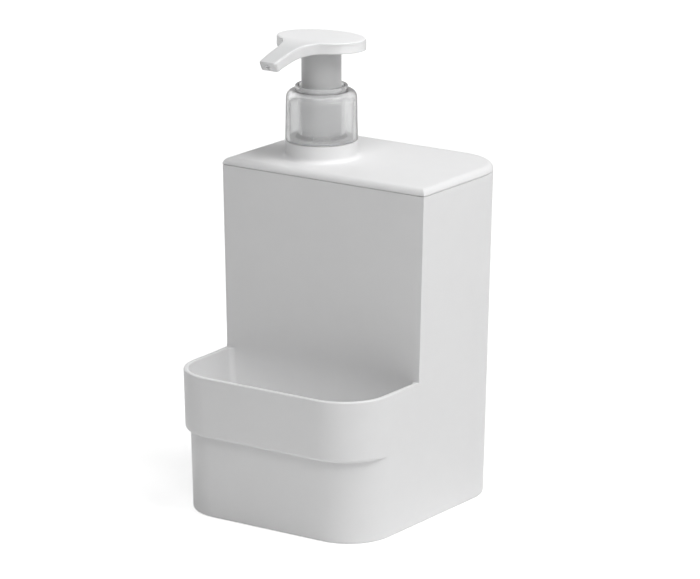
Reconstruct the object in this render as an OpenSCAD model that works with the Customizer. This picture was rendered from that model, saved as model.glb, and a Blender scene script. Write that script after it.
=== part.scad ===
// Soap pump caddy: a liquid soap tank with a sponge tray moulded to its front, a lid with an
// off-centre neck, and a lift-out lotion pump. Millimetres, +Z up, tray towards -Y.
// The origin is on the ground, at the middle of the width and of the depth.

/* [Tank] */
// Width of the body where the lid sits
body_w = 96; // [86:1:110]
// Depth of the whole body, from the tray's front to the back
body_d = 106.7; // [98:0.5:120]
// Depth of the tank alone, where the lid sits
tank_d = 64.2; // [58:0.5:70]
// Height of the tank up to the lid's seam
tank_h = 132.8; // [126:0.2:150]
// Moulding draft of the sides, back and tray front, in degrees
draft = 1.3; // [0.5:0.1:2]
// Forward lean of the tank's front face, in degrees
front_lean = 0.17; // [0:0.01:0.5]
// Radius of the upright back corners at the seam
back_r = 21.5; // [14:0.1:26]
// Wall thickness of the tank and of the hollow front
wall = 2.2; // [1.6:0.1:2.6]
// Thickness of the tank's floor
floor_t = 2.5; // [1.8:0.1:4]
// Height of the eased edge round the base
foot_ease = 1.2; // [0.6:0.1:2.5]

/* [Sponge tray] */
// Height of the tray's rim above the ground
tray_h = 58.4; // [50:0.1:70]
// Height of the band that stands proud at the front
band_h = 24.7; // [18:0.1:30]
// How far the band stands proud of the lower front
band_step = 3.5; // [1:0.1:6]
// Radius of the tray's upright front corners at the rim
tray_r = 19.9; // [12:0.1:24]
// Thickness of the tray's rim
rim_t = 2; // [1.4:0.1:3]
// Thickness of the tray's floor
tray_floor_t = 2.2; // [1.6:0.1:3]

/* [Lid] */
// Thickness of the lid's plate
lid_h = 3; // [2.9:0.1:4]
// Radius of the lid's rounded top edge
lid_edge_r = 2.8; // [1:0.1:2.8]
// Height of the shadow line under the lid
seam_gap = 0.35; // [0.1:0.05:0.4]
// Depth of the shadow line
seam_d = 0.9; // [0.4:0.1:1.4]
// Depth of the skirt that plugs into the tank
skirt_h = 6; // [4:0.5:9]
// Thickness of the skirt
skirt_t = 1.6; // [1:0.1:2.4]
// Distance from the tank's left side to the pump's axis
pump_from_left = 30.6; // [26:0.1:60]
// Distance from the tank's front face to the pump's axis
pump_from_front = 24.75; // [22:0.1:34]
// Outer radius of the neck
neck_r = 14.4; // [14:0.1:16]
// Height of the neck above the lid
neck_h = 6.7; // [6.2:0.1:9]
// Radius of the blend at the neck's foot
neck_blend_r = 1.8; // [0.5:0.1:3]
// Thickness of the ledge in the neck that carries the pump
ledge_t = 2.5; // [1.6:0.1:2.6]
// Radius of the hole through the ledge
ledge_hole_r = 9.75; // [9.7:0.05:10]

/* [Collar] */
// Height of the collar's shell up to its shoulder
collar_h = 20; // [19:0.1:24]
// Outer radius of the collar at its foot
collar_foot_r = 14.5; // [13.9:0.1:15.5]
// Outer radius of the collar at its shoulder
collar_top_r = 14.1; // [13.6:0.1:15]
// Radius of the collar's rounded shoulder
shoulder_r = 3.2; // [1.5:0.1:3.3]
// Thickness of the collar's top
collar_top_t = 1.7; // [1.2:0.1:2.5]
// Inner radius of the collar's shell
collar_in_r = 12.95; // [12.7:0.05:13]
// Outer radius of the small ring on the collar's shoulder
ring_r = 10.5; // [10:0.1:11]
// Height of the small ring
ring_h = 2; // [1:0.1:3]
// Outer radius of the tube that guides the sleeve
guide_r = 9.2; // [8.9:0.05:9.6]
// Thickness of the collar's floor
collar_floor_t = 1.2; // [0.8:0.1:1.5]
// Radius over the crests of the collar's thread
thread_r = 12.5; // [12.2:0.05:12.6]
// Depth of the thread
thread_d = 0.7; // [0.4:0.1:0.9]
// Thread pitch
thread_pitch = 2; // [1.5:0.1:2.2]
// Width of a thread ridge at its foot, as a share of the pitch
ridge_foot_share = 0.5; // [0.4:0.05:0.7]
// Width of a thread ridge at its crest, as a share of the pitch
ridge_crest_share = 0.1; // [0.05:0.01:0.2]
// Inner radius of the threaded spigot
spigot_in_r = 10.4; // [10:0.1:10.8]

/* [Pump housing] */
// Radius of the housing's flange
flange_r = 12.2; // [11.6:0.1:12.4]
// Thickness of the flange
flange_t = 1.3; // [1:0.1:1.8]
// Thickness of the neck gasket
gasket_t = 1.2; // [0.8:0.1:1.6]
// Outer radius of the housing's cup
cup_r = 9.6; // [9.5:0.05:9.65]
// Depth of the cup below the top of the flange
cup_d = 6; // [5.5:0.1:9]
// Inner radius of the pump chamber
chamber_r = 5.7; // [5.2:0.1:6]
// Wall thickness of the chamber and of the cup's floor
chamber_t = 1.1; // [0.8:0.1:1.4]
// Length of the pump chamber beyond the plunger's travel
chamber_rest = 28; // [27:0.5:34]
// Inner radius of the ball's cage
cage_r = 3.1; // [2.9:0.05:3.3]
// Length of the ball's cage
cage_l = 6.5; // [6:0.1:9]
// Radius of the inlet ball
ball_r = 2.4; // [2.2:0.05:2.6]
// Radius of the hole under the ball
seat_r = 1.6; // [1.4:0.05:1.8]
// Distance of the retainer's holes from the axis, as a share of the cage's radius
hole_ring_share = 0.6; // [0.5:0.05:0.7]
// Length of the socket for the dip tube
tube_socket_l = 12; // [8:0.5:16]
// Outer radius of the dip tube
tube_r = 2.9; // [2.6:0.05:3.1]
// Inner radius of the dip tube
tube_in_r = 2; // [1.6:0.05:2.2]
// Gap between the dip tube's tip and the tank's floor
tube_foot_gap = 2.2; // [1.5:0.1:6]
// Slant of the dip tube's foot, in degrees
tube_slant = 35; // [20:1:45]

/* [Plunger] */
// Travel of the pump's head
stroke = 12; // [9:0.5:12.5]
// Outer radius of the grey sleeve
sleeve_r = 8; // [7.8:0.05:8.1]
// Wall thickness of the sleeve
sleeve_t = 1.2; // [0.9:0.1:1.4]
// Gap that a full press leaves between the head and the collar
head_stop = 2.9; // [1.5:0.1:6]
// Depth that the sleeve enters the collar
sleeve_in = 18; // [16:0.5:19]
// Outer radius of the stem
stem_r = 3.5; // [3.3:0.05:3.6]
// Radius of the stem's bore
stem_bore_r = 1.9; // [1.7:0.05:2.1]
// Length of the piston
piston_l = 6; // [5:0.1:7]
// Radius of the piston's waist, as a share of its lips' radius
waist_share = 0.8; // [0.6:0.05:0.9]
// Gap round the rod in the piston, through which the soap passes
rod_pass = 0.35; // [0.3:0.05:0.6]
// Lift of the piston on its rod, which opens the outlet
piston_slip = 1; // [0.6:0.1:1.2]
// Radius of the rod's valve head
rod_head_r = 4.3; // [4:0.05:4.5]
// Thickness of the rod's valve head
rod_head_t = 3.5; // [2.5:0.1:4]
// Radius of the rod where it passes the piston
rod_r = 1.4; // [1.2:0.05:1.5]
// Length of the rod's shank in the stem
shank_l = 24; // [18:1:30]
// Radius of the four flutes along the shank
flute_r = 0.7; // [0.5:0.05:0.8]
// Wire diameter of the main spring
wire_d = 0.7; // [0.5:0.05:0.8]
// Number of working turns of the main spring
spring_turns = 7; // [5:1:9]
// Mean radius of the main spring
spring_r = 4.3; // [3.8:0.1:4.5]
// Rise of the spring's closed end turns, as a share of the wire's diameter
closed_turn_share = 1.04; // [1.02:0.01:1.2]

/* [Head] */
// Width of the thumb pad, side to side
pad_w = 37.4; // [30:0.2:42]
// Depth of the thumb pad, front to back
pad_l = 31.4; // [27:0.2:36]
// Thickness of the pad
pad_t = 4.5; // [4.4:0.1:6]
// Backward slope of the pad, in degrees
pad_slope = 2; // [0:0.5:4]
// Wall thickness of the head's shell
head_t = 1.7; // [1.2:0.1:2.2]
// Length of the boss that holds the sleeve and the stem, below the pad
boss_drop = 8; // [5:0.5:12]
// Reach of the nozzle, from the pump's axis to its tip
reach = 37.2; // [30:0.2:44]
// Width of the nozzle at its tip
tip_w = 8; // [6.5:0.1:9]
// Height of the nozzle at its tip
tip_h = 4.5; // [4.2:0.1:5.5]
// Drop of the nozzle's tip below the pad's top
tip_drop = 4.3; // [2:0.1:6]
// How far the foot of the nozzle's end face lies back
tip_lean = 2.1; // [0:0.1:3]
// Width of the nozzle where it leaves the pad
root_w = 13; // [10:0.5:18]
// Where the nozzle starts to curve down, as a share of its reach
bend_share = 0.36; // [0.2:0.01:0.5]
// Width and height of the soap channel in the head
channel_w = 2.4; // [2.3:0.1:2.8]
// Radius of the round outlet in the nozzle's end face
outlet_r = 1; // [0.8:0.05:1.1]
// Length of the outlet
outlet_l = 2; // [1.5:0.1:3]

/* [Clearances] */
// Gap of parts that turn or slide in each other
run_gap = 0.08; // [0.05:0.01:0.1]
// Gap of parts that are pushed together by hand
push_gap = 0.02; // [0.01:0.01:0.04]
// Gap between faces that come near each other but don't seal
face_gap = 0.15; // [0.1:0.05:0.3]

/* [Hidden] */
$fn = 96;

// Cuts run past the faces they open by this much
over = 1;

// Straight steps in a drawn quarter round
arc_steps = 8;

// Places along Z that the pieces share
tray_floor_z = tray_h - band_h + tray_floor_t;
lid_z = tank_h + lid_h;
neck_z = lid_z + neck_h;
collar_z = neck_z + face_gap;
shoulder_z = collar_z + collar_h;
ring_z = shoulder_z + ring_h;
ledge_z = tank_h + ledge_t;
flange_z = ledge_z + gasket_t;
cup_z = flange_z + flange_t;
cup_floor_z = cup_z - cup_d;
chamber_z = cup_floor_z - stroke - chamber_rest;
cage_z = chamber_z - cage_l;
socket_z = cage_z - chamber_t - tube_socket_l;
head_z = ring_z + stroke + head_stop;

// Places in plan
tank_back = body_d / 2;
tank_front = tank_back - tank_d;
pump_x = pump_from_left - body_w / 2;
pump_y = tank_front + pump_from_front;

// Inner radii that follow the pieces inside them
socket_bore_r = thread_r + run_gap;
cup_in_r = sleeve_r + face_gap;
guide_in_r = sleeve_r + run_gap;

// Places on the plunger, at rest
guide_foot_z = cup_floor_z - 2 * chamber_t;
piston_top_z = guide_foot_z - piston_slip - face_gap;
piston_z = piston_top_z - piston_l;
stem_foot_z = piston_top_z + piston_slip + run_gap;
rod_foot_z = piston_z - rod_head_t;

// Height of the head's top, underside and middle at the distance s in front of the pump's
// axis. The pad slopes back, and the nozzle curves down to its tip.
bend_from = reach * bend_share;
function pad_line(s) = head_z + pad_t + tan(pad_slope) * s;
function head_top_z(s) = s < bend_from ? pad_line(s)
    : pad_line(bend_from) - (tip_drop + tan(pad_slope) * bend_from)
        * pow((s - bend_from) / (reach - bend_from), 2);
function head_foot_z(s) = s < pad_l / 2 ? head_top_z(s) - pad_t
    : head_top_z(s) - pad_t + (pad_t - tip_h) * (s - pad_l / 2) / (reach - pad_l / 2);
function channel_z(s) = (head_top_z(s) + head_foot_z(s)) / 2;
stem_top_z = channel_z(0) - channel_w / 2;
sleeve_top_z = head_top_z(-sleeve_r) - head_t - face_gap;

// How far the sides draw in below the seam at height z
function drawn_in(z) = tan(draft) * (tank_h - z);
function side_x(z) = body_w / 2 - drawn_in(z);
function back_y(z) = tank_back - drawn_in(z);
function lean_y(z) = tank_front - tan(front_lean) * (tank_h - z);
function tray_y(z) = -body_d / 2 + tan(draft) * (tray_h - z);

// Centres of the upright corners, which the draft leaves in place
back_corner = [body_w / 2 - back_r, tank_back - back_r];
tray_corner = [side_x(tray_h) - tray_r, -body_d / 2 + tray_r];

// Points of an arc about [x, z], from the angle a to the angle b, and a list turned round
function arc(x, z, r, a, b) = [for (i = [0:arc_steps]) let (t = a + (b - a) * i / arc_steps)
    [x + r * cos(t), z + r * sin(t)]];
function backwards(v) = [for (i = [len(v) - 1:-1:0]) v[i]];

// Turns a profile of the Y-Z plane into a solid right across the body
module across(w) rotate([90, 0, 90]) linear_extrude(w, center = true) children();

// Turns a profile of the X-Z plane into a solid right through the body
module along(d) rotate([90, 0, 0]) linear_extrude(d, center = true) children();

// Upright corner at the centre c, drawn in by the draft, with a cone in place of the edge
module corner_cones(c, r0, r1, z0, z1) {
    for (side = [-1, 1])
        translate([side * c[0], c[1], z0]) cylinder(h = z1 - z0, r1 = r0, r2 = r1);
}

// Square corners that the cones replace: dir is 1 at the back and -1 at the front
module corner_cuts(c, dir, z0, z1) {
    for (side = [-1, 1])
        translate([side * (c[0] + body_w / 2), c[1] + dir * body_d / 2, (z0 + z1) / 2])
            cube([body_w, body_d, z1 - z0 + 2 * over], center = true);
}

// Drafted block between the heights z0 and z1 with round back corners. Its front runs from
// front0 to front1, and it lies inside the body's outer faces by in0 below and in1 above.
module back_block(z0, z1, front0, front1, in0, in1) {
    difference() {
        intersection() {
            along(2 * body_d) polygon([[in0 - side_x(z0), z0], [side_x(z0) - in0, z0],
                [side_x(z1) - in1, z1], [in1 - side_x(z1), z1]]);
            across(2 * body_w) polygon([[front0, z0], [back_y(z0) - in0, z0],
                [back_y(z1) - in1, z1], [front1, z1]]);
        }
        corner_cuts(back_corner, 1, z0, z1);
    }
    corner_cones(back_corner, back_r - drawn_in(z0) - in0, back_r - drawn_in(z1) - in1, z0, z1);
}

// The same block with the tray's round front corners as well. It lies back from the tray's
// front by step.
module tray_block(z0, z1, step, in0, in1) {
    c = [tray_corner[0], tray_corner[1] + step];
    r0 = tray_r - tan(draft) * (tray_h - z0) - in0;
    r1 = tray_r - tan(draft) * (tray_h - z1) - in1;
    difference() {
        back_block(z0, z1, tray_y(z0) + step + in0, tray_y(z1) + step + in1, in0, in1);
        corner_cuts(c, -1, z0, z1);
    }
    corner_cones(c, r0, r1, z0, z1);
}

// Everything behind the tank's leaning front face
module behind_front(z0, z1) {
    across(2 * body_w) polygon([[lean_y(z0), z0], [body_d, z0], [body_d, z1], [lean_y(z1), z1]]);
}

// Tank, tray and hollow front, one moulding
module tank_body() {
    band_z = tray_h - band_h;
    color([0.93, 0.93, 0.93]) difference() {
        union() {
            tray_block(0, foot_ease, band_step, foot_ease / 2, 0);
            tray_block(foot_ease, band_z, band_step, 0, 0);
            tray_block(band_z, tray_h, 0, 0, 0);
            back_block(tray_h, tank_h, lean_y(tray_h), lean_y(tank_h), 0, 0);
        }
        back_block(floor_t, tank_h + over, lean_y(floor_t) + wall, lean_y(tank_h + over) + wall,
            wall, wall);
        difference() {
            tray_block(tray_floor_z, tray_h + over, 0, rim_t, rim_t);
            behind_front(0, tank_h);
        }
        difference() {
            tray_block(-over, tray_floor_z - tray_floor_t, band_step, wall, wall);
            behind_front(-over, tank_h);
        }
    }
}

// Section of the lid's plate over the half width half, square below and round on top
module lid_section(half) {
    edge = lid_z - lid_edge_r;
    polygon(concat([[-half, tank_h], [half, tank_h]],
        arc(half - lid_edge_r, edge, lid_edge_r, 0, 90),
        arc(lid_edge_r - half, edge, lid_edge_r, 90, 180)));
}

// Lid plate with its round top edge
module lid_plate() {
    mid = (tank_front + tank_back) / 2;
    difference() {
        intersection() {
            along(2 * body_d) lid_section(body_w / 2);
            translate([0, mid, 0]) across(2 * body_w) lid_section(tank_d / 2);
        }
        corner_cuts(back_corner, 1, tank_h, lid_z);
    }
    for (side = [-1, 1])
        translate([side * back_corner[0], back_corner[1], 0]) rotate_extrude() intersection() {
            lid_section(back_r);
            translate([0, tank_h]) square([back_r, lid_h]);
        }
}

// Lid with its neck, the ledge that carries the pump, and the skirt that plugs the tank
module top_cover() {
    color([0.95, 0.95, 0.95]) difference() {
        union() {
            lid_plate();
            translate([pump_x, pump_y, 0]) rotate_extrude() polygon(concat(
                [[0, tank_h], [neck_r + neck_blend_r, tank_h]],
                arc(neck_r + neck_blend_r, lid_z + neck_blend_r, neck_blend_r, 270, 180),
                [[neck_r, neck_z], [0, neck_z]]));
            difference() {
                back_block(tank_h - skirt_h, tank_h + lid_h / 2, lean_y(tank_h - skirt_h) + wall
                    + push_gap, lean_y(tank_h) + wall + push_gap, wall + push_gap, wall + push_gap);
                back_block(tank_h - skirt_h - over, tank_h, lean_y(tank_h - skirt_h) + wall
                    + push_gap + skirt_t, lean_y(tank_h) + wall + push_gap + skirt_t,
                    wall + push_gap + skirt_t, wall + push_gap + skirt_t);
            }
        }
        difference() {
            back_block(tank_h - over, tank_h + seam_gap, tank_front - over, tank_front - over,
                -over, -over);
            back_block(tank_h - 2 * over, tank_h + over, tank_front + seam_d, tank_front + seam_d,
                seam_d, seam_d);
        }
        translate([pump_x, pump_y, ledge_z]) cylinder(h = neck_h + lid_h, r = socket_bore_r);
        translate([pump_x, pump_y, tank_h - over]) cylinder(h = neck_h, r = ledge_hole_r);
    }
}

// A ring or tube on the pump's axis, from z0 to z1
module tube(z0, z1, r_out, r_in) {
    translate([pump_x, pump_y, 0]) difference() {
        translate([0, 0, z0]) cylinder(h = z1 - z0, r = r_out);
        translate([0, 0, z0 - over]) cylinder(h = z1 - z0 + 2 * over, r = r_in);
    }
}

// Soft ring that seals the housing's flange on the lid's ledge
module neck_gasket() {
    color([0.75, 0.75, 0.73]) tube(ledge_z, flange_z, flange_r, cup_r + push_gap);
}

// Clear outer shell of the collar, with the guide tube for the sleeve
module collar_shell() {
    ceiling_z = shoulder_z - collar_top_t;
    guide_z = collar_z + 2 * collar_floor_t;
    color([0.86, 0.87, 0.88, 0.5]) translate([pump_x, pump_y, 0]) rotate_extrude() polygon(concat(
        [[collar_in_r, collar_z], [collar_foot_r, collar_z]],
        arc(collar_top_r - shoulder_r, shoulder_z - shoulder_r, shoulder_r, 0, 90),
        [[ring_r, shoulder_z], [ring_r, ring_z], [guide_r, ring_z], [guide_r, shoulder_z],
            [guide_in_r, shoulder_z], [guide_in_r, guide_z], [guide_r, guide_z],
            [guide_r, ceiling_z]],
        arc(collar_in_r - shoulder_r, ceiling_z - shoulder_r, shoulder_r, 90, 0)));
}

// Floor of the collar with the spigot that screws into the neck. The thread is drawn as
// ridges, each as deep as the thread.
module collar_thread_ring() {
    foot = cup_z + face_gap;
    core_r = thread_r - thread_d;
    turns = floor((collar_z - foot) / thread_pitch);
    foot_half = thread_pitch * ridge_foot_share / 2;
    crest_half = thread_pitch * ridge_crest_share / 2;
    color([0.8, 0.8, 0.8, 0.7]) translate([pump_x, pump_y, 0]) rotate_extrude() polygon(concat(
        [[spigot_in_r, foot], [core_r, foot]],
        [for (i = [1:turns]) let (z = foot + (i - 1 / 2) * thread_pitch)
            each [[core_r, z - foot_half], [thread_r, z - crest_half],
                [thread_r, z + crest_half], [core_r, z + foot_half]]],
        [[core_r, collar_z], [collar_in_r - push_gap, collar_z],
            [collar_in_r - push_gap, collar_z + collar_floor_t],
            [spigot_in_r, collar_z + collar_floor_t]]));
}

// Housing: flange and cup in the neck, pump chamber, ball cage and socket for the dip tube
module pump_housing() {
    neck_in_r = tube_r + push_gap;
    color([0.9, 0.9, 0.9]) translate([pump_x, pump_y, 0]) rotate_extrude() polygon([
        [cup_in_r, cup_z], [flange_r, cup_z], [flange_r, flange_z], [cup_r, flange_z],
        [cup_r, cup_floor_z - chamber_t], [chamber_r + chamber_t, cup_floor_z - chamber_t],
        [chamber_r + chamber_t, chamber_z - chamber_t],
        [cage_r + chamber_t, chamber_z - 2 * chamber_t],
        [cage_r + chamber_t, socket_z], [neck_in_r, socket_z],
        [neck_in_r, socket_z + tube_socket_l], [seat_r, socket_z + tube_socket_l],
        [seat_r, cage_z], [cage_r, cage_z + cage_r - seat_r],
        [cage_r, chamber_z], [chamber_r, chamber_z],
        [chamber_r, cup_floor_z], [cup_in_r, cup_floor_z]]);
}

// Ring snapped into the chamber's mouth, which guides the stem and stops the piston
module stem_guide() {
    plug_r = chamber_r - push_gap;
    bore_r = stem_r + run_gap;
    head_r = sleeve_r - sleeve_t - face_gap;
    top = cup_z + flange_t;
    color([0.88, 0.88, 0.88]) translate([pump_x, pump_y, 0]) rotate_extrude() polygon([
        [bore_r, guide_foot_z], [plug_r, guide_foot_z], [plug_r, cup_floor_z],
        [head_r, cup_floor_z], [head_r, cup_floor_z + chamber_t],
        [plug_r, cup_floor_z + chamber_t], [bore_r + chamber_t, top], [bore_r, top]]);
}

// Cross that keeps the ball in its cage and seats the spring
module ball_retainer() {
    hole_r = seat_r / 2;
    color([0.85, 0.85, 0.85]) difference() {
        tube(chamber_z, chamber_z + chamber_t, chamber_r - push_gap, hole_r);
        for (turn = [0:90:270])
            translate([pump_x, pump_y, chamber_z - over]) rotate([0, 0, turn])
                translate([cage_r * hole_ring_share, 0, 0])
                    cylinder(h = chamber_t + 2 * over, r = hole_r);
    }
}

// Ball that shuts the inlet on the up stroke
module inlet_ball() {
    seat_z = cage_z + (ball_r * sqrt(2) - seat_r);
    color([0.75, 0.78, 0.8]) translate([pump_x, pump_y, seat_z + face_gap / 2]) sphere(r = ball_r);
}

// Dip tube, cut on the slant at its foot
module dip_tube() {
    foot = floor_t + tube_foot_gap;
    cut = 6 * tube_r;
    color([0.9, 0.9, 0.9, 0.6]) difference() {
        tube(foot, socket_z + tube_socket_l - push_gap, tube_r, tube_in_r);
        translate([pump_x - tube_r, pump_y, foot]) rotate([0, -tube_slant, 0])
            translate([0, 0, -cut / 2]) cube([cut, cut, cut], center = true);
    }
}

// Main spring as a wound wire with a closed turn at each end
spring_foot_z = chamber_z + chamber_t + push_gap;
spring_l = rod_foot_z - spring_foot_z - push_gap;
spring_steps = 12;
spring_sides = 6;
function spring_rise(u) = let (all = spring_turns + 2, lead = wire_d * closed_turn_share,
        free = (spring_l - wire_d - 2 * lead) / spring_turns)
    u < 1 ? u * lead : u > all - 1 ? lead + spring_turns * free + (u - all + 1) * lead
    : lead + (u - 1) * free;
module main_spring() {
    rings = (spring_turns + 2) * spring_steps;
    points = [for (i = [0:rings]) for (k = [0:spring_sides - 1])
        let (a = 360 * i / spring_steps, b = 360 * k / spring_sides,
            r = spring_r + wire_d / 2 * cos(b))
        [r * cos(a), r * sin(a), wire_d / 2 + spring_rise(i / spring_steps)
            + wire_d / 2 * sin(b)]];
    sides = [for (i = [0:rings - 1]) for (k = [0:spring_sides - 1])
        let (a = i * spring_sides + k, b = i * spring_sides + (k + 1) % spring_sides)
        each [[a, a + spring_sides, b], [b, a + spring_sides, b + spring_sides]]];
    ends = concat([for (k = [1:spring_sides - 2]) [0, k, k + 1]],
        [for (k = [1:spring_sides - 2]) let (n = rings * spring_sides) [n, n + k + 1, n + k]]);
    color([0.7, 0.71, 0.73]) translate([pump_x, pump_y, spring_foot_z])
        polyhedron(points, concat(sides, ends));
}

// Rod whose valve head shuts the piston's bore, with a fluted shank in the stem
module piston_rod() {
    shank_z = stem_foot_z + stem_bore_r;
    color([0.85, 0.86, 0.9]) translate([pump_x, pump_y, 0]) difference() {
        union() {
            translate([0, 0, rod_foot_z]) cylinder(h = rod_head_t - push_gap, r = rod_head_r);
            translate([0, 0, rod_foot_z]) cylinder(h = shank_z + over - rod_foot_z, r = rod_r);
            translate([0, 0, shank_z]) cylinder(h = shank_l, r = stem_bore_r - run_gap);
        }
        for (turn = [0:90:270])
            rotate([0, 0, turn]) translate([stem_bore_r, 0, shank_z - over])
                cylinder(h = shank_l + 2 * over, r = flute_r);
    }
}

// Piston with a sealing lip at each end
module piston() {
    lip_r = chamber_r - run_gap;
    waist_r = lip_r * waist_share;
    bore_r = rod_r + rod_pass;
    lip_l = piston_l / 4;
    color([0.92, 0.92, 0.92]) translate([pump_x, pump_y, 0]) rotate_extrude() polygon([
        [bore_r, piston_z], [lip_r, piston_z], [lip_r, piston_z + lip_l / 2],
        [waist_r, piston_z + lip_l], [waist_r, piston_top_z - lip_l],
        [lip_r, piston_top_z - lip_l / 2], [lip_r, piston_top_z], [bore_r, piston_top_z]]);
}

// Hollow stem that carries the head
module pump_stem() {
    color([0.9, 0.9, 0.9]) tube(stem_foot_z, stem_top_z, stem_r, stem_bore_r);
}

// Grey sleeve between the head and the collar, notched at the front for the soap channel
module head_sleeve() {
    notch = channel_w + head_t + 2 * push_gap;
    color([0.62, 0.63, 0.64]) difference() {
        tube(ring_z - sleeve_in, sleeve_top_z, sleeve_r, sleeve_r - sleeve_t);
        translate([pump_x, pump_y - sleeve_r, sleeve_top_z])
            cube([notch, 2 * sleeve_r, 2 * (sleeve_top_z - channel_z(0)) + notch], center = true);
    }
}

// Outline of the head from above: an oval pad, and the nozzle where it is wanted too
module oval(inset) {
    scale([pad_w / 2 - inset, pad_l / 2 - inset]) circle(r = 1);
}
module nozzle_plan() {
    polygon([[-tip_w / 2, -reach], [tip_w / 2, -reach], [root_w / 2, -pad_l / 2],
        [root_w / 2, 0], [-root_w / 2, 0], [-root_w / 2, -pad_l / 2]]);
}

// Side view of the head, from the back of the pad to the nozzle's leaning end face. The top
// is lowered by inset and the underside by drop.
module head_side(inset, drop) {
    steps = 24;
    function at(i, last) = -pad_l + (last + pad_l) * i / steps;
    polygon(concat(
        [for (i = [0:steps]) let (s = at(i, reach)) [-s, head_top_z(s) - inset]],
        [for (i = [steps:-1:0]) let (s = at(i, reach - tip_lean)) [-s, head_foot_z(s) - drop]]));
}

// Square duct of width w along the head's middle line, between the distances a and b
module duct(a, b, w) {
    steps = 12;
    across(w) polygon(concat(
        [for (i = [0:steps]) let (s = a + (b - a) * i / steps) [-s, channel_z(s) + w / 2]],
        [for (i = [steps:-1:0]) let (s = a + (b - a) * i / steps) [-s, channel_z(s) - w / 2]]));
}

// Round outlet that runs out through the nozzle's end face
module outlet() {
    a = reach - outlet_l - over;
    way = [0, a - reach, channel_z(reach) - channel_z(a)];
    translate([0, -a, channel_z(a)]) rotate([acos(way[2] / norm(way)), 0, 0])
        cylinder(h = outlet_l + 3 * over, r = outlet_r);
}

// Head: a hollow oval pad with a nozzle, a boss for the stem and a channel to the outlet
module pump_head() {
    boss_r = sleeve_r - sleeve_t - push_gap;
    boss_z = head_z - boss_drop;
    color([0.93, 0.94, 0.95, 0.6]) translate([pump_x, pump_y, 0]) difference() {
        union() {
            intersection() {
                across(2 * pad_w) head_side(0, 0);
                translate([0, 0, head_z - reach]) linear_extrude(2 * reach) {
                    oval(0);
                    nozzle_plan();
                }
            }
            translate([0, 0, boss_z]) cylinder(h = boss_drop + pad_t / 2, r = boss_r);
        }
        difference() {
            intersection() {
                across(2 * pad_w) head_side(head_t, over);
                translate([0, 0, head_z - reach]) linear_extrude(2 * reach) oval(head_t);
            }
            translate([0, 0, boss_z]) cylinder(h = boss_drop + 2 * pad_t, r = boss_r);
            duct(0, pad_l / 2, channel_w + head_t);
        }
        translate([0, 0, boss_z - over])
            cylinder(h = stem_top_z + push_gap - boss_z + over, r = stem_r + push_gap);
        translate([0, 0, boss_z]) cylinder(h = channel_z(0) - boss_z, r = stem_bore_r);
        duct(0, reach - outlet_l, channel_w);
        outlet();
    }
}

tank_body();
top_cover();
neck_gasket();
collar_shell();
collar_thread_ring();
pump_housing();
stem_guide();
ball_retainer();
inlet_ball();
dip_tube();
main_spring();
piston_rod();
piston();
pump_stem();
head_sleeve();
pump_head();
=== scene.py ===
import math

import bmesh
import bpy
from mathutils import Matrix, Vector


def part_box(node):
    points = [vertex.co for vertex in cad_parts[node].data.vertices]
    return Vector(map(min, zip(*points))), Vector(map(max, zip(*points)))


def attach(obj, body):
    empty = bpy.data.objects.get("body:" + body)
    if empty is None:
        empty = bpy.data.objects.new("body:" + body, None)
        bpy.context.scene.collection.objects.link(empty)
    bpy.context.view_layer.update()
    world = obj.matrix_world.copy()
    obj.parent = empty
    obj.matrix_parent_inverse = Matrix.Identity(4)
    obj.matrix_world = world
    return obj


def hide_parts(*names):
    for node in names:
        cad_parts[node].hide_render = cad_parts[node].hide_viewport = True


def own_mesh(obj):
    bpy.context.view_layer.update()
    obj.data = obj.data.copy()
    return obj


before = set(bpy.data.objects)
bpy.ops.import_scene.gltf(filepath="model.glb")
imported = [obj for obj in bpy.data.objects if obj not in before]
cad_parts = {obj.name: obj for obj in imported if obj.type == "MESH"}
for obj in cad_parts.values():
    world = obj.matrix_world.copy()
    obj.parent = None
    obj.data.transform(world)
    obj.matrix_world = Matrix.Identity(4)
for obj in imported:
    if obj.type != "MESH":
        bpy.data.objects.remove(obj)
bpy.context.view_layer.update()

# Camera: it stands in front of the caddy and to its right, and looks a little down on it.
# A long lens from far away keeps the upright edges almost parallel.
camera_place = Vector((0.94656, -1.35540, 0.53017))
camera_back = Vector((0.55065, -0.79347, 0.25921))
camera = bpy.data.objects.new("camera", bpy.data.cameras.new("camera"))
camera.data.lens = 223.195
camera.data.sensor_width = 36
camera.data.clip_end = 20
camera.location = camera_place
camera.rotation_mode = "QUATERNION"
camera.rotation_quaternion = (-camera_back).to_track_quat("-Z", "Y")
bpy.context.scene.collection.objects.link(camera)
bpy.context.scene.camera = camera
bpy.context.scene.view_settings.view_transform = "Standard"

# Tank, sponge tray and hollow front: one injection moulding in white plastic. The tank is open
# at the top under the lid, the tray at the top, and the hollow front below. All upright walls
# draw in towards the ground, so that the moulding leaves its mould.
body_half = 0.048
body_back = 0.05335
tank_front = -0.01085
tank_height = 0.1328
tank_floor = 0.0025
tray_height = 0.0584
tray_floor = 0.0359
band_bottom = 0.0337
band_step = 0.0035
wall = 0.0022
rim = 0.002
draft_slope = 0.0227
lean_slope = 0.003

# the round corners at the right: their middles, and their radii before the walls draw in
back_corner = Vector((0.0265, 0.03185, 0))
back_radius = 0.0215
tray_corner = Vector((0.0264, -0.02995, 0))
tray_radius = 0.0216
corner_steps = 16

# the small roundings, and the height above the rim at which the front corners' rounding stops
foot_round = 0.001
rim_round = 0.0007
edge_steps = 3
seam_round = 0.0003
seam_steps = 2
band_round = 0.0017
band_steps = 4
pocket_round = 0.0025
pocket_steps = 6
upright_stop = 0.0012

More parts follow.
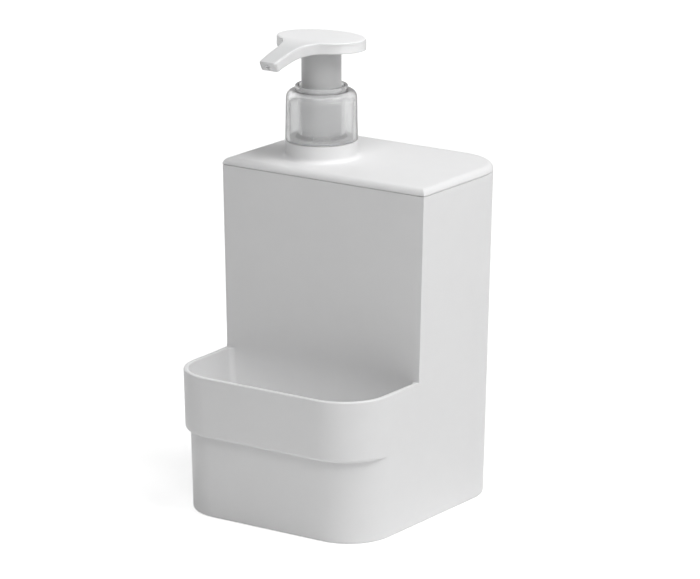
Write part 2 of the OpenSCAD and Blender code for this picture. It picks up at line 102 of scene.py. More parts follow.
# limits for picking: the same height, the same point, beyond the object, the least rise of an
# upright edge, and how far a face is turned one way
near = 0.0001
tiny = 0.00001
far = 1
least_rise = 0.002
level_turn = 0.99
plain_turn = 0.9
steep_turn = 0.5
y_axis, z_axis = 1, 2


def drawn(z):
    """How far the walls have drawn in at the height z."""
    return draft_slope * (tank_height - z)


def lean(z):
    """Where the tank's front face stands at the height z."""
    return tank_front - lean_slope * (tank_height - z)


def block(bm, low, high):
    verts = bmesh.ops.create_cube(bm, size=1)["verts"]
    bmesh.ops.scale(bm, vec=Vector(high) - Vector(low), verts=verts)
    bmesh.ops.translate(bm, vec=(Vector(high) + Vector(low)) / 2, verts=verts)


def cut(bm, faces, place, normal):
    """Divides the faces along a plane, and keeps both sides."""
    whole = list(dict.fromkeys(part for f in faces for part in (f, *f.edges, *f.verts)))
    bmesh.ops.bisect_plane(bm, geom=whole, dist=tiny, plane_co=place, plane_no=normal)


def ease(bm, radius, segments, chosen):
    """Rounds the chosen edges."""
    edges = [e for e in bm.edges if chosen(e)]
    bmesh.ops.bevel(bm, geom=edges, offset=radius, offset_type="OFFSET", segments=segments,
                    profile=0.5, affect="EDGES", material=-1)


def raise_faces(bm, faces, offset):
    """Moves the faces out or in, with walls behind them, and returns their points and them."""
    old = list(faces)
    made = bmesh.ops.extrude_face_region(bm, geom=old)["geom"]
    left = [f for f in old if f.is_valid]
    if left:
        bmesh.ops.delete(bm, geom=left, context="FACES_ONLY")
    bmesh.ops.delete(bm, geom=[e for e in bm.edges if e.is_wire], context="EDGES")
    verts = [g for g in made if isinstance(g, bmesh.types.BMVert)]
    bmesh.ops.translate(bm, vec=offset, verts=verts)
    return verts, [g for g in made if isinstance(g, bmesh.types.BMFace)]


def draw_in(verts, corner_y, amount):
    """Moves each point towards the body's core, by the amount for its height."""
    for v in verts:
        reach = back_corner.x if v.co.y > 0 else tray_corner.x
        core = Vector((max(-reach, min(reach, v.co.x)),
                       max(corner_y, min(back_corner.y, v.co.y)), v.co.z))
        if (v.co - core).length > near:
            v.co -= (v.co - core).normalized() * amount(v.co.z)


def between(edge, axis, low, high):
    return all(low <= v.co[axis] <= high for v in edge.verts)


def at_height(edge, z):
    return between(edge, z_axis, z - near, z + near)


def upright(edge):
    return abs(edge.verts[0].co.z - edge.verts[1].co.z) > least_rise


def level(bm, z, turned_up):
    """The level faces at the height z that look up (1) or down (-1)."""
    return [f for f in bm.faces if f.normal.z * turned_up > level_turn
            and abs(f.calc_center_median().z - z) < near]


def widest(faces):
    return max(faces, key=lambda f: f.calc_area())


def hollow(bm, z, turned_up, thickness, rear_y, corner_round, rise, corner_y):
    """Sinks a pocket into the level faces at z that lie in front of rear_y. A wall is left
    round it, and its rear corners may be round."""
    def ahead():
        return [f for f in level(bm, z, turned_up) if f.calc_center_median().y < rear_y]

    bmesh.ops.inset_region(bm, faces=ahead(), thickness=thickness, use_even_offset=True,
                           use_boundary=True)
    inner = widest(ahead())
    rear = [v for v in inner.verts if v.co.y > rear_y - thickness - near]
    half = max(v.co.x for v in rear)
    for side in (-1, 1):
        cut(bm, [f for f in level(bm, z, turned_up) if f != inner],
            (side * half, 0, 0), (1, 0, 0))
    for v in rear:
        v.co.y = rear_y
    bmesh.ops.remove_doubles(bm, verts=bm.verts, dist=tiny)
    inner = widest(ahead())
    for side in (-1, 1) if corner_round else ():
        corner = min(inner.verts, key=lambda v: (v.co - Vector((side * half, rear_y, z))).length)
        ends = []
        for edge in [e for e in corner.link_edges if inner in e.link_faces]:
            share = corner_round / edge.calc_length()
            ends.append(bmesh.utils.edge_split(edge, corner, share)[1])
        middle = Vector((side * (half - corner_round), rear_y - corner_round, z))
        start, end = (v.co - middle for v in ends)
        turn = start.rotation_difference(end)
        arc = [middle + Matrix.Rotation(turn.angle * k / pocket_steps, 3, turn.axis) @ start
               for k in range(1, pocket_steps)]
        made = bmesh.utils.face_split(inner, ends[0], ends[1], coords=arc)[0]
        inner = widest([inner, made])
    verts, _ = raise_faces(bm, [inner], (0, 0, rise))
    draw_in(verts, corner_y, lambda low: drawn(low) - drawn(z))
    for v in verts:
        if abs(v.co.y - rear_y) < near:
            v.co.y = lean(z + rise)


tank = bmesh.new()
block(tank, (-body_half, tray_corner.y - tray_radius, 0), (body_half, body_back, tray_height))
ease(tank, back_radius, corner_steps, lambda e: between(e, y_axis, 0, far) and upright(e))
ease(tank, tray_radius, corner_steps,
     lambda e: between(e, y_axis, -far, tray_corner.y) and upright(e))
ease(tank, foot_round, edge_steps, lambda e: at_height(e, 0))
cut(tank, tank.faces[:], (0, 0, band_bottom), (0, 0, 1))
draw_in(tank.verts, tray_corner.y, drawn)

# the band stands proud of the lower front, and its lower edge is round
tank.faces.ensure_lookup_table()
band = [f for f in tank.faces if abs(f.normal.z) < steep_turn
        and f.calc_center_median().z > band_bottom and f.calc_center_median().y < tray_corner.y]
moves = [(band_step - band_round, 0)]
for step in range(band_steps):
    a, b = (math.radians(90 * k / band_steps) for k in (step, step + 1))
    moves.append((band_round * (math.sin(b) - math.sin(a)),
                  band_round * (math.cos(a) - math.cos(b))))
lowest = band_bottom
for forward, upward in moves:
    verts, band = raise_faces(tank, band, (0, -forward, 0))
    for v in verts:
        if abs(v.co.z - lowest) < near:
            v.co.z += upward
    lowest += upward

# the tank's walls go on above the tray, with a flat front face
bmesh.ops.dissolve_faces(tank, faces=level(tank, tray_height, 1))
front_y = lean(tray_height)
cut(tank, level(tank, tray_height, 1), (0, front_y, 0), (0, 1, 0))
top = [f for f in level(tank, tray_height, 1) if f.calc_center_median().y > front_y]
verts, _ = raise_faces(tank, top, (0, 0, tank_height - tray_height))
draw_in(verts, tray_corner.y, lambda z: -drawn(tray_height))
for v in verts:
    if v.co.y < 0:
        v.co.y = tank_front
bmesh.ops.dissolve_edges(tank, edges=[
    e for e in tank.edges if at_height(e, tray_height)
    and min(v.co.y for v in e.verts) > front_y - near
    and max(v.co.y for v in e.verts) > front_y + near])


def front_corner(edge, low):
    """An upright edge of the tank's front face, above the height low."""
    return (upright(edge) and between(edge, y_axis, front_y - near, tank_front + near)
            and between(edge, z_axis, low - near, far))


for corner in [e for e in tank.edges if front_corner(e, tray_height)]:
    foot = min(corner.verts, key=lambda v: v.co.z)
    bmesh.utils.edge_split(corner, foot, upright_stop / corner.calc_length())
ease(tank, seam_round, seam_steps, lambda e: between(e, z_axis, tank_height - near, far)
     or front_corner(e, tray_height + upright_stop))

# sponge tray: the rim stops at the tank's front face, which runs down into the pocket
hollow(tank, tray_height, 1, thickness=rim, rear_y=front_y, corner_round=pocket_round,
       rise=tray_floor - tray_height, corner_y=tray_corner.y - band_step)
bmesh.ops.dissolve_edges(tank, edges=[
    e for e in tank.edges if at_height(e, tray_height)
    and (all(f.normal.z > plain_turn for f in e.link_faces)
         or all(f.normal.y < -plain_turn for f in e.link_faces))])
ease(tank, rim_round, edge_steps, lambda e: at_height(e, tray_height)
     and min(v.co.y for v in e.verts) < front_y - near)

# hollow front, open below
rear_low = lean(0)
cut(tank, level(tank, 0, -1), (0, rear_low, 0), (0, 1, 0))
hollow(tank, 0, -1, thickness=wall - foot_round, rear_y=rear_low, corner_round=0,
       rise=band_bottom, corner_y=tray_corner.y)

# the tank itself, open under the lid
bmesh.ops.inset_region(tank, faces=level(tank, tank_height, 1), thickness=wall - seam_round,
                       use_even_offset=True, use_boundary=True)
inner = widest(level(tank, tank_height, 1))
verts, _ = raise_faces(tank, [inner], (0, 0, tank_floor - tank_height))
draw_in(verts, tray_corner.y, drawn)
for v in verts:
    if v.co.y < tank_front + 2 * wall:
        v.co.y = lean(tank_floor) + wall

cloud_size = 12
sharp_from = math.radians(35)


def object_place(tree):
    return tree.nodes.new("ShaderNodeTexCoord").outputs["Object"]


def noise(tree, place, scale, detail):
    node = tree.nodes.new("ShaderNodeTexNoise")
    node.inputs["Scale"].default_value = scale
    node.inputs["Detail"].default_value = detail
    tree.links.new(place, node.inputs["Vector"])
    return node.outputs["Fac"]


def graded(tree, value, start, end, low=0, high=1):
    """Runs evenly from low to high, while the value runs from start to end."""
    node = tree.nodes.new("ShaderNodeMapRange")
    for socket, number in (("From Min", start), ("From Max", end), ("To Min", low),
                           ("To Max", high)):
        node.inputs[socket].default_value = number
    tree.links.new(value, node.inputs["Value"])
    return node.outputs["Result"]


def blended(tree, share, ground, tint):
    """The ground, a colour or a socket, with that share of the tint in it."""
    node = tree.nodes.new("ShaderNodeMix")
    node.data_type = "RGBA"
    tree.links.new(share, node.inputs["Factor"])
    if isinstance(ground, tuple):
        node.inputs["A"].default_value = (*ground, 1)
    else:
        tree.links.new(ground, node.inputs["A"])
    node.inputs["B"].default_value = (*tint, 1)
    return node.outputs["Result"]


def moulded(name, light, dark, shine, grain, relief, painted_edge_shade=None, **sockets):
    """Moulded plastic: a faint cloud between two tones, a roughness that varies within shine,
    and a fine skin, whose relief is its strength and depth. A clear plastic may get a painted
    dark edge, painted shade that stands in for the dark refraction of its wall seen edge-on:
    its colour, and how far the surface turns away before that starts and is full."""
    material = bpy.data.materials.new(name)
    material.use_nodes = True
    tree = material.node_tree
    shader = tree.nodes["Principled BSDF"]
    place = object_place(tree)
    colour = blended(tree, noise(tree, place, grain / cloud_size, 2), dark, light)
    # painted shade: where the surface is seen edge-on, its colour turns towards a dark tone
    if painted_edge_shade:
        tone, start, full = painted_edge_shade
        weight = tree.nodes.new("ShaderNodeLayerWeight")
        weight.inputs["Blend"].default_value = 0.5
        colour = blended(tree, graded(tree, weight.outputs["Facing"], start, full), colour, tone)
    tree.links.new(colour, shader.inputs["Base Color"])
    skin = noise(tree, place, grain, 4)
    tree.links.new(graded(tree, skin, 0, 1, *shine), shader.inputs["Roughness"])
    bump = tree.nodes.new("ShaderNodeBump")
    bump.inputs["Strength"].default_value = relief[0]
    bump.inputs["Distance"].default_value = relief[1]
    tree.links.new(skin, bump.inputs["Height"])
    tree.links.new(bump.outputs["Normal"], shader.inputs["Normal"])
    for socket, value in sockets.items():
        shader.inputs[socket.replace("_", " ")].default_value = value
    return material


def shown(bm, name, *materials):
    """Gives the mesh its object, with smooth faces between its sharp edges."""
    mesh = bpy.data.meshes.new(name)
    bm.to_mesh(mesh)
    bm.free()
    mesh.shade_smooth()
    mesh.set_sharp_from_angle(angle=sharp_from)
    for material in materials:
        mesh.materials.append(material)
    piece = bpy.data.objects.new(name, mesh)
    bpy.context.scene.collection.objects.link(piece)
    normals = piece.modifiers.new("normals", "WEIGHTED_NORMAL")
    normals.keep_sharp = True
    normals.weight = 100
    return piece


tank_white = moulded("white_moulding", (0.83, 0.83, 0.832), (0.81, 0.81, 0.813),
                     shine=(0.36, 0.42), grain=1600, relief=(0.08, 0.0001))
tank_moulding = shown(tank, "tank_moulding", tank_white)
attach(tank_moulding, "caddy")
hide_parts("tank_body")

# Lid: a second moulding in the white plastic, a little more matt. Its plate overhangs a thin
# shadow line, its skirt plugs the tank, and its neck carries the pump. Its top edge is round.
pump = Vector((-0.0174, 0.0139, 0))
seam_gap = 0.00035
seam_depth = 0.0006
seam_top = tank_height + seam_gap
lid_top = 0.1358
lid_round = 0.0028
lid_steps = 8
skirt_length = 0.006
skirt_thickness = 0.0016
push_gap = 0.00002
neck_radius = 0.0144
neck_blend = 0.0018
neck_steps = 6
neck_top = 0.1425
neck_lip = 0.0004
neck_bore = 0.01258
ledge_top = 0.1353
ledge_hole = 0.00975


def eased(corners, closed=True, steps=5):
    """The profile through the corners (radius, height, rounding), with the corners rounded."""
    points = []
    count = len(corners)
    for i, (x, z, rounding) in enumerate(corners):
        here = Vector((x, z))
        if not rounding or (not closed and i in (0, count - 1)):
            points.append(here)
            continue
        ways = [(Vector(corners[k % count][:2]) - here).normalized() for k in (i - 1, i + 1)]
        half = ways[0].angle(ways[1]) / 2
        middle = here + (ways[0] + ways[1]).normalized() * rounding / math.sin(half)
        first, last = (here + way * rounding / math.tan(half) - middle for way in ways)
        start = math.atan2(first.y, first.x)
        turn = (math.atan2(last.y, last.x) - start + math.pi) % (2 * math.pi) - math.pi
        for k in range(steps + 1):
            angle = start + turn * k / steps
            points.append(middle + rounding * Vector((math.cos(angle), math.sin(angle))))
    return points


def turned(bm, profile, closed=True, steps=96):
    """Spins the profile about the pump's axis."""
    verts = [bm.verts.new((pump.x + x, pump.y, z)) for x, z in profile]
    pairs = zip(verts, verts[1:] + verts[:1]) if closed else zip(verts, verts[1:])
    edges = [bm.edges.new(pair) for pair in pairs]
    bmesh.ops.spin(bm, geom=verts + edges, cent=pump, axis=(0, 0, 1), angle=2 * math.pi,
                   steps=steps, use_merge=True)


lid = bmesh.new()
block(lid, (-body_half, tank_front, seam_top), (body_half, body_back, lid_top))
ease(lid, back_radius, corner_steps,
     lambda e: between(e, y_axis, body_back - near, far) and upright(e))
ease(lid, lid_round, lid_steps, lambda e: between(e, z_axis, lid_top - near, far))

# shadow line and skirt below the plate
bmesh.ops.inset_region(lid, faces=level(lid, seam_top, -1), thickness=seam_depth,
                       use_even_offset=True)
_, under = raise_faces(lid, [widest(level(lid, seam_top, -1))], (0, 0, -seam_gap))
bmesh.ops.inset_region(lid, faces=under, thickness=wall + push_gap - seam_depth,
                       use_even_offset=True)
verts, under = raise_faces(lid, [widest(level(lid, tank_height, -1))], (0, 0, -skirt_length))
draw_in(verts, tray_corner.y, drawn)
bmesh.ops.inset_region(lid, faces=under, thickness=skirt_thickness, use_even_offset=True)
raise_faces(lid, [widest(level(lid, tank_height - skirt_length, -1))], (0, 0, skirt_length))

# the neck runs up from the plate, with a blend at its foot and a ledge inside
turned(lid, eased([
    (neck_radius + neck_blend + near, lid_top, 0), (neck_radius, lid_top, neck_blend),
    (neck_radius, neck_top, neck_lip), (neck_bore, neck_top, neck_lip / 2),
    (neck_bore, ledge_top, 0), (ledge_hole, ledge_top, 0), (ledge_hole, tank_height, 0)],
    closed=False, steps=neck_steps), closed=False)
for z, turned_up in ((lid_top, 1), (tank_height, -1)):
    plate = widest(level(lid, z, turned_up))
    outline = list(plate.edges)
    bmesh.ops.delete(lid, geom=[plate], context="FACES_ONLY")
    ring = [e for e in lid.edges if e.is_boundary and e not in outline and at_height(e, z)]
    bmesh.ops.triangle_fill(lid, use_beauty=True, use_dissolve=False, edges=outline + ring,
                            normal=(0, 0, turned_up))
bmesh.ops.recalc_face_normals(lid, faces=lid.faces)
lid_white = moulded("white_lid", (0.84, 0.84, 0.842), (0.82, 0.82, 0.823),
                    shine=(0.42, 0.5), grain=1800, relief=(0.06, 0.0001))
lid_moulding = shown(lid, "lid_moulding", lid_white)
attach(lid_moulding, "caddy")
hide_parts("top_cover")

# Collar shell: a cap moulded in clear, smoky grey plastic, which turns with the threaded ring
# below it. The tube that guides the sleeve hangs from its top, and shows through its wall.
collar_bore = 0.01295
collar_foot = 0.14265
foot_radius = 0.0145
shoulder = 0.16265
shoulder_radius = 0.0141
shoulder_round = 0.0029
ceiling = 0.16095
ceiling_round = 0.0028
ring_radius = 0.0105
ring_top = 0.16465
ring_round = 0.0004
guide_radius = 0.0092
guide_bore = 0.00808
guide_foot = 0.14505
root_round = 0.0003
crease_round = 0.0002
guide_round = 0.0001
collar_steps = 8
collar_sides = 128
inner_reach = 0.0128
inner_top = 0.162
collar = bmesh.new()
turned(collar, eased([
    (collar_bore, collar_foot, 0), (foot_radius, collar_foot, root_round),
    (shoulder_radius, shoulder, shoulder_round), (ring_radius, shoulder, crease_round),
    (ring_radius, ring_top, ring_round), (guide_radius, ring_top, ring_round),
    (guide_radius, shoulder, crease_round), (guide_bore, shoulder, crease_round),
    (guide_bore, guide_foot, guide_round), (guide_radius, guide_foot, guide_round),
    (guide_radius, ceiling, root_round), (collar_bore, ceiling, ceiling_round)],
    steps=collar_steps), steps=collar_sides)
bmesh.ops.recalc_face_normals(collar, faces=collar.faces)

# the shell's own edges get a painted dark edge, painted shade for the dark refraction of its wall
# seen edge-on, and those of the guide tube inside it don't
smoky_look = dict(light=(0.91, 0.912, 0.914), dark=(0.89, 0.892, 0.894), shine=(0.06, 0.1),
                  grain=1500, relief=(0.02, 0.00005), Transmission_Weight=0.78, IOR=1.35)
smoky = moulded("smoky_translucent", painted_edge_shade=((0.01, 0.01, 0.0105), 0.55, 0.76), **smoky_look)
smoky_inner = moulded("smoky_inner_wall", **smoky_look)
for f in collar.faces:
    middle = f.calc_center_median()
    f.material_index = int((middle.xy - pump.xy).length < inner_reach and middle.z < inner_top)
collar_cap = shown(collar, "collar_cap", smoky, smoky_inner)
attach(collar_cap, "collar")
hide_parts("collar_shell")

# Sleeve: a plain tube moulded in grey plastic, which hangs from the head and slides in the
# collar's guide, with a notch for the soap channel at its front. Its CAD solid has the right
# shape, so it only gets its plastic here.
sleeve_grey = moulded("sleeve_grey", (0.62, 0.622, 0.625), (0.59, 0.592, 0.595),
                      shine=(0.3, 0.38), grain=1700, relief=(0.06, 0.0001))
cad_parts["head_sleeve"].material_slots[0].material = sleeve_grey

# Head: a hollow oval thumb pad and a nozzle, one moulding in frosted translucent plastic.
# A boss under the pad holds the stem, and a rib carries the soap channel to the nozzle. The
# lengths along it run forwards from the pump's axis.
pad_half_width = 0.0187
pad_half_length = 0.0157
pad_thickness = 0.0045
pad_top = 0.18404
pad_slope = math.tan(math.radians(2))
pad_round = 0.0009
pad_steps = 4
under_round = 0.0004
under_steps = 3
shell = 0.0017

# nozzle: where it leaves the pad, bends down, tapers and ends
root_from = 0.0136
blend_run = 0.0095
bend_from = 0.01339
bend_power = 1.7
reach = 0.0372
taper_half = 0.0054
tip_half = 0.004
tip_drop = 0.0043
tip_height = 0.0045
tip_lean = 0.0021
tip_round = 0.0012
tip_steps = 4
tip_zone = 0.004
tip_turn = 0.6
outlet_radius = 0.001
outlet_sides = 24
channel_run = 0.0045
channel_steps = 4

# boss and rib, with the rib's lengths ahead of the axis
boss_bore = 0.00352
boss_radius = 0.00678
boss_foot = 0.17155
boss_top = 0.1828
boss_round = 0.0004
bore_round = 0.0002
boss_steps = 3
boss_sides = 64
rib_half = 0.00205
rib_foot = 0.1797
rib_start = 0.0064
rib_end = 0.0129

# stations across the outline, closer together at the pad's rounded back
back_steps = 40
back_turn = 1.19
front_steps = 20
root_gap = 0.0006
sharp_bend = 0.8


def head_top(s):
    if s < bend_from:
        return pad_top + pad_slope * s
    share = (s - bend_from) / (reach - bend_from)
    return (pad_top + pad_slope * bend_from
            - (tip_drop + pad_slope * bend_from) * share ** bend_power)


def head_thickness(s):
    share = max(0, (s - pad_half_length) / (reach - pad_half_length))
    return pad_thickness + (tip_height - pad_thickness) * share


def head_foot(s):
    return head_top(s) - head_thickness(s)


def head_middle(s):
    return head_top(s) - head_thickness(s) / 2


def head_half(s):
    """Half the width: an oval at the pad, which runs into the nozzle's taper."""
    if s < root_from:
        return pad_half_width * math.sqrt(max(0, 1 - (s / pad_half_length) ** 2))
    taper = taper_half + (tip_half - taper_half) * (s - root_from) / (reach - root_from)
    left = max(0, 1 - (s - root_from) / blend_run)
    start = pad_half_width * math.sqrt(1 - (root_from / pad_half_length) ** 2) - taper_half
    return taper + start * left ** 2


stations = [-pad_half_length * math.cos(math.pi * k / back_steps / back_turn)
            for k in range(back_steps)]
stations = [s for s in stations if s < root_from - root_gap]
stations += [root_from + (reach - root_from) * k / front_steps for k in range(front_steps + 1)]
head = bmesh.new()
grid = bmesh.ops.create_grid(head, x_segments=1, y_segments=len(stations) - 1, size=1)["verts"]
for v in grid:
    s = stations[round((1 - v.co.y) / 2 * (len(stations) - 1))]
    v.co = Vector((pump.x + v.co.x * head_half(s), pump.y - s, head_top(s)))
bmesh.ops.remove_doubles(head, verts=head.verts, dist=tiny)
pad = [f for f in head.faces if f.calc_center_median().y > pump.y - bend_from]
bmesh.ops.dissolve_faces(head, faces=pad)
bmesh.ops.recalc_face_normals(head, faces=head.faces)
if head.faces[:][0].normal.z < 0:
    bmesh.ops.reverse_faces(head, faces=head.faces)

# the outline goes down to the underside, and the nozzle's end leans back
lower = bmesh.ops.extrude_face_region(head, geom=head.faces[:])["geom"]
for v in [g for g in lower if isinstance(g, bmesh.types.BMVert)]:
    s = pump.y - v.co.y
    s -= tip_lean * max(0, (s - root_from) / (reach - root_from)) ** 3
    v.co.y = pump.y - s
    v.co.z = head_foot(s)
bmesh.ops.recalc_face_normals(head, faces=head.faces)


def along(edge, height):
    """A sharp edge with both ends at the height that belongs to their place."""
    return edge.calc_face_angle() > sharp_bend and all(
        abs(v.co.z - height(pump.y - v.co.y)) < near for v in edge.verts)


def underside(bm):
    return widest([f for f in bm.faces if f.normal.z < -plain_turn])


tip_y = pump.y - reach
ease(head, tip_round, tip_steps,
     lambda e: between(e, y_axis, tip_y - near, tip_y + tip_lean + near) and upright(e))
ease(head, pad_round, pad_steps, lambda e: along(e, head_top))
ease(head, under_round, under_steps, lambda e: along(e, head_foot))
bmesh.ops.inset_region(head, faces=[underside(head)], thickness=shell - under_round,
                       use_even_offset=True)
raise_faces(head, [underside(head)], (0, 0, pad_thickness - shell))

# round outlet in the nozzle's end face, with the channel behind it
end = widest([f for f in head.faces
              if f.normal.y < -tip_turn and f.calc_center_median().y < tip_y + tip_zone])
outline, outward, middle = list(end.edges), end.normal.copy(), end.calc_center_median()
bmesh.ops.delete(head, geom=[end], context="FACES_ONLY")
outlet = Matrix.Translation(middle) @ outward.to_track_quat("Z", "Y").to_matrix().to_4x4()
ring = bmesh.ops.create_circle(head, segments=outlet_sides, radius=outlet_radius,
                               matrix=outlet)["verts"]
ring = list(dict.fromkeys(e for v in ring for e in v.link_edges))
bmesh.ops.triangle_fill(head, use_beauty=True, use_dissolve=False, edges=outline + ring,
                        normal=outward)
s = pump.y - middle.y
for step in range(channel_steps):
    made = bmesh.ops.extrude_edge_only(head, edges=ring)["geom"]
    ring = [g for g in made if isinstance(g, bmesh.types.BMEdge)]
    bmesh.ops.translate(head, vec=(0, channel_run, head_middle(s - channel_run) - head_middle(s)),
                        verts=[g for g in made if isinstance(g, bmesh.types.BMVert)])
    s -= channel_run
bmesh.ops.holes_fill(head, edges=ring, sides=outlet_sides)

# boss and rib under the pad
turned(head, eased([(boss_bore, boss_foot, bore_round), (boss_radius, boss_foot, boss_round),
                    (boss_radius, boss_top, 0), (boss_bore, boss_top, 0)], steps=boss_steps),
       steps=boss_sides)
block(head, (pump.x - rib_half, pump.y - rib_end, rib_foot),
      (pump.x + rib_half, pump.y - rib_start, boss_top))
bmesh.ops.recalc_face_normals(head, faces=head.faces)

# the sides get a painted dark edge, painted shade where the wall is seen edge-on. The top is
# matt, and painted greyer towards the nozzle: painted shade where the soap channel shows
# through it
frosted = moulded("frosted_translucent", (0.99, 0.99, 0.992), (0.97, 0.972, 0.975),
                  shine=(0.15, 0.22), grain=1500, relief=(0.03, 0.00006),
                  painted_edge_shade=((0.3, 0.302, 0.305), 0.75, 1), Transmission_Weight=0.35, IOR=1.3)
matt = moulded("frosted_pad", (0.955, 0.955, 0.957), (0.935, 0.937, 0.94), shine=(0.42, 0.5),
               grain=1500, relief=(0.06, 0.0001), Transmission_Weight=0.06, IOR=1.46)
# painted shade: the grey that the nozzle's top turns to towards its end, over the soap channel
nozzle_painted_shade = (0.74, 0.745, 0.75)
painted_shade_from = pad_half_length * 0.7
painted_shade_full = pad_half_length * 1.5
up_turn = 0.8
tree = matt.node_tree
across = tree.nodes.new("ShaderNodeSeparateXYZ")
tree.links.new(object_place(tree), across.inputs["Vector"])
share = graded(tree, across.outputs["Y"], pump.y - painted_shade_from, pump.y - painted_shade_full)
base = tree.nodes["Principled BSDF"].inputs["Base Color"]
tree.links.new(blended(tree, share, base.links[0].from_socket, nozzle_painted_shade), base)
for f in head.faces:
    middle = f.calc_center_median()
    f.material_index = int(f.normal.z > up_turn
                           and middle.z > head_top(pump.y - middle.y) - 2 * near)
press_head = shown(head, "press_head", frosted, matt)
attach(press_head, "head")
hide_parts("pump_head")

# Main spring: a steel wire, wound with a closed turn at each end. It stands loose on the disc
# over the ball, and shortens as the rod presses its top.
wire = 0.0007
wire_sides = 10
coil_radius = 0.0043
closed_rise = 1.04 * wire
open_turns = 7
turn_steps = 32
spring_foot, spring_top = (Vector(corner).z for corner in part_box("main_spring"))
spring_length = spring_top - spring_foot
open_rise = spring_length - wire - 2 * closed_rise
coil_middle = Vector((pump.x, pump.y, spring_foot + wire / 2))
spring = bmesh.new()
wire_end = (Matrix.Translation(coil_middle + Vector((coil_radius, 0, 0)))
            @ Matrix.Rotation(math.pi / 2, 4, "X"))
ring = bmesh.ops.create_circle(spring, segments=wire_sides, radius=wire / 2,
                               matrix=wire_end)["verts"]
ring = list(dict.fromkeys(g for v in ring for g in (v, *v.link_edges)))
for turns, rise in ((1, closed_rise), (open_turns, open_rise), (1, closed_rise)):
    ring = bmesh.ops.spin(spring, geom=ring, cent=coil_middle, axis=(0, 0, 1),
                          angle=2 * math.pi * turns, dvec=(0, 0, rise / turns / turn_steps),
                          steps=turns * turn_steps)["geom_last"]
bmesh.ops.holes_fill(spring, edges=[e for e in spring.edges if e.is_boundary], sides=wire_sides)
bmesh.ops.recalc_face_normals(spring, faces=spring.faces)
spring_steel = moulded("spring_steel", (0.6, 0.6, 0.61), (0.5, 0.5, 0.51), shine=(0.22, 0.34),
                       grain=3000, relief=(0.06, 0.00005), Metallic=1)
wound_spring = shown(spring, "wound_spring", spring_steel)
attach(wound_spring, "pump_core")
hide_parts("main_spring")
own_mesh(wound_spring)

# Pump parts inside the tank and the collar: plain pale mouldings, a soft sealing ring and a
# steel ball, pushed or snapped together, and the collar's threaded ring, painted dark grey as
# painted shade inside the collar. Their CAD solids have the right shape, and only get their
# materials here.
# painted shade: the threaded ring is painted dark grey for the shaded floor seen through the
# clear collar
ring_painted_shade = moulded("collar_floor", (0.45, 0.454, 0.458), (0.41, 0.414, 0.418),
                      shine=(0.3, 0.4), grain=1500, relief=(0.06, 0.0001))
soft_seal = moulded("soft_seal", (0.62, 0.61, 0.58), (0.56, 0.55, 0.53), shine=(0.6, 0.72),
                    grain=900, relief=(0.1, 0.0001))
tube_plastic = moulded("tube_plastic", (0.86, 0.87, 0.87), (0.82, 0.83, 0.83),
                       shine=(0.25, 0.35), grain=900, relief=(0.05, 0.0001),
                       Transmission_Weight=0.5, IOR=1.5)
piston_plastic = moulded("piston_plastic", (0.8, 0.82, 0.8), (0.76, 0.78, 0.76),
                         shine=(0.35, 0.45), grain=1200, relief=(0.06, 0.0001))
ball_steel = moulded("ball_steel", (0.62, 0.62, 0.63), (0.56, 0.56, 0.57), shine=(0.12, 0.2),
                     grain=2500, relief=(0.03, 0.00005), Metallic=1)
natural = moulded("natural_plastic", (0.82, 0.83, 0.82), (0.78, 0.79, 0.78),
                  shine=(0.32, 0.42), grain=1300, relief=(0.06, 0.0001),
                  Transmission_Weight=0.15, IOR=1.5)
for name, material in (("collar_thread_ring", ring_painted_shade), ("neck_gasket", soft_seal),
                       ("dip_tube", tube_plastic), ("piston", piston_plastic),
                       ("inlet_ball", ball_steel), ("pump_housing", natural),
                       ("stem_guide", natural), ("ball_retainer", natural),
                       ("piston_rod", natural), ("pump_stem", natural)):
    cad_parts[name].material_slots[0].material = material

# Floor: a plain white table top, which runs on to the horizon. Far from the object it is pure
# white, and near it, it shows the object's shadow.
floor_reach = 6
shadow_within = 0.3
white_beyond = 1.2
near_glow = 0.6


def backdrop_rays(tree):
    """1 for the rays that show the background: straight, mirrored, or through clear plastic."""
    path = tree.nodes.new("ShaderNodeLightPath")
    total = path.outputs["Is Camera Ray"]
    for kind in ("Is Glossy Ray", "Is Transmission Ray"):
        either = tree.nodes.new("ShaderNodeMath")
        either.operation = "MAXIMUM"
        tree.links.new(total, either.inputs[0])
        tree.links.new(path.outputs[kind], either.inputs[1])
        total = either.outputs[0]
    return total


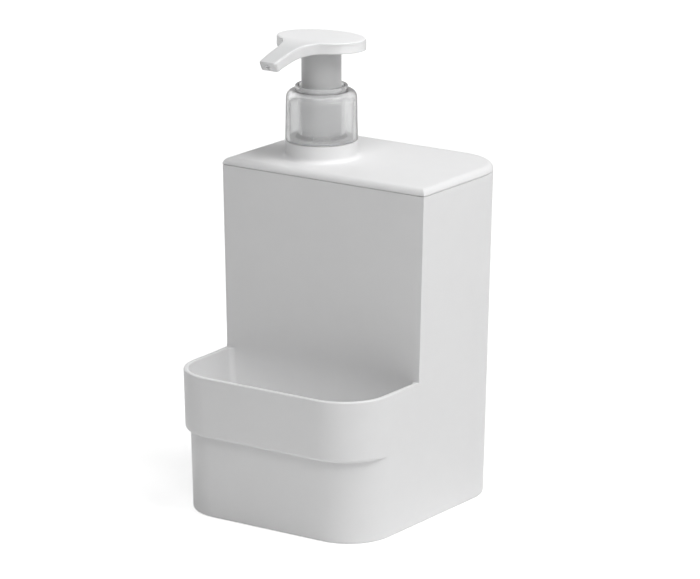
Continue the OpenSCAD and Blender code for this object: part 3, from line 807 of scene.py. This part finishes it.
floor = bmesh.new()
bmesh.ops.create_grid(floor, x_segments=1, y_segments=1, size=floor_reach)
floor_white = moulded("floor_white", (0.9, 0.9, 0.9), (0.88, 0.88, 0.88), shine=(0.5, 0.6),
                      grain=400, relief=(0.02, 0.0001))
tree = floor_white.node_tree
distance = tree.nodes.new("ShaderNodeVectorMath")
distance.operation = "LENGTH"
tree.links.new(object_place(tree), distance.inputs[0])
glow = tree.nodes.new("ShaderNodeMath")
glow.operation = "MULTIPLY"
tree.links.new(graded(tree, distance.outputs["Value"], shadow_within, white_beyond,
                      near_glow, 1), glow.inputs[0])
tree.links.new(backdrop_rays(tree), glow.inputs[1])
shader = tree.nodes["Principled BSDF"]
shader.inputs["Emission Color"].default_value = (1, 1, 1, 1)
tree.links.new(glow.outputs["Value"], shader.inputs["Emission Strength"])
floor_plane = shown(floor, "floor_plane", floor_white)

# Light: a room that is white to look at and hardly shines, and five soft round lamps: at the
# right, overhead, in front from above, in front from low down, and behind at the left.
room_shine = 0.01
world = bpy.data.worlds.new("room")
bpy.context.scene.world = world
world.use_nodes = True
tree = world.node_tree
background = tree.nodes["Background"]
background.inputs["Color"].default_value = (1, 1, 1, 1)
tree.links.new(graded(tree, backdrop_rays(tree), 0, 1, room_shine, 1),
               background.inputs["Strength"])


def lamp(name, place, size, power, aim=(0, 0, 0.1)):
    light = bpy.data.lights.new(name, "AREA")
    light.shape = "DISK"
    light.size = size
    light.energy = power
    lamp_object = bpy.data.objects.new(name, light)
    lamp_object.location = place
    way = Vector(aim) - Vector(place)
    lamp_object.rotation_euler = way.to_track_quat("-Z", "Y").to_euler()
    bpy.context.scene.collection.objects.link(lamp_object)


lamp("side_softbox", (0.6, 0, 0.6), size=0.5, power=1.6)
lamp("top_softbox", (0.35, 0.1, 0.8), size=0.5, power=3.2)
lamp("front_softbox", (0.4, -0.9, 1.2), size=0.9, power=7)
lamp("low_softbox", (0.6, -1.4, 0.25), size=1.2, power=1.3, aim=(0, 0, 0.08))
lamp("back_softbox", (-1.3, 0.5, 0.3), size=1.2, power=2)
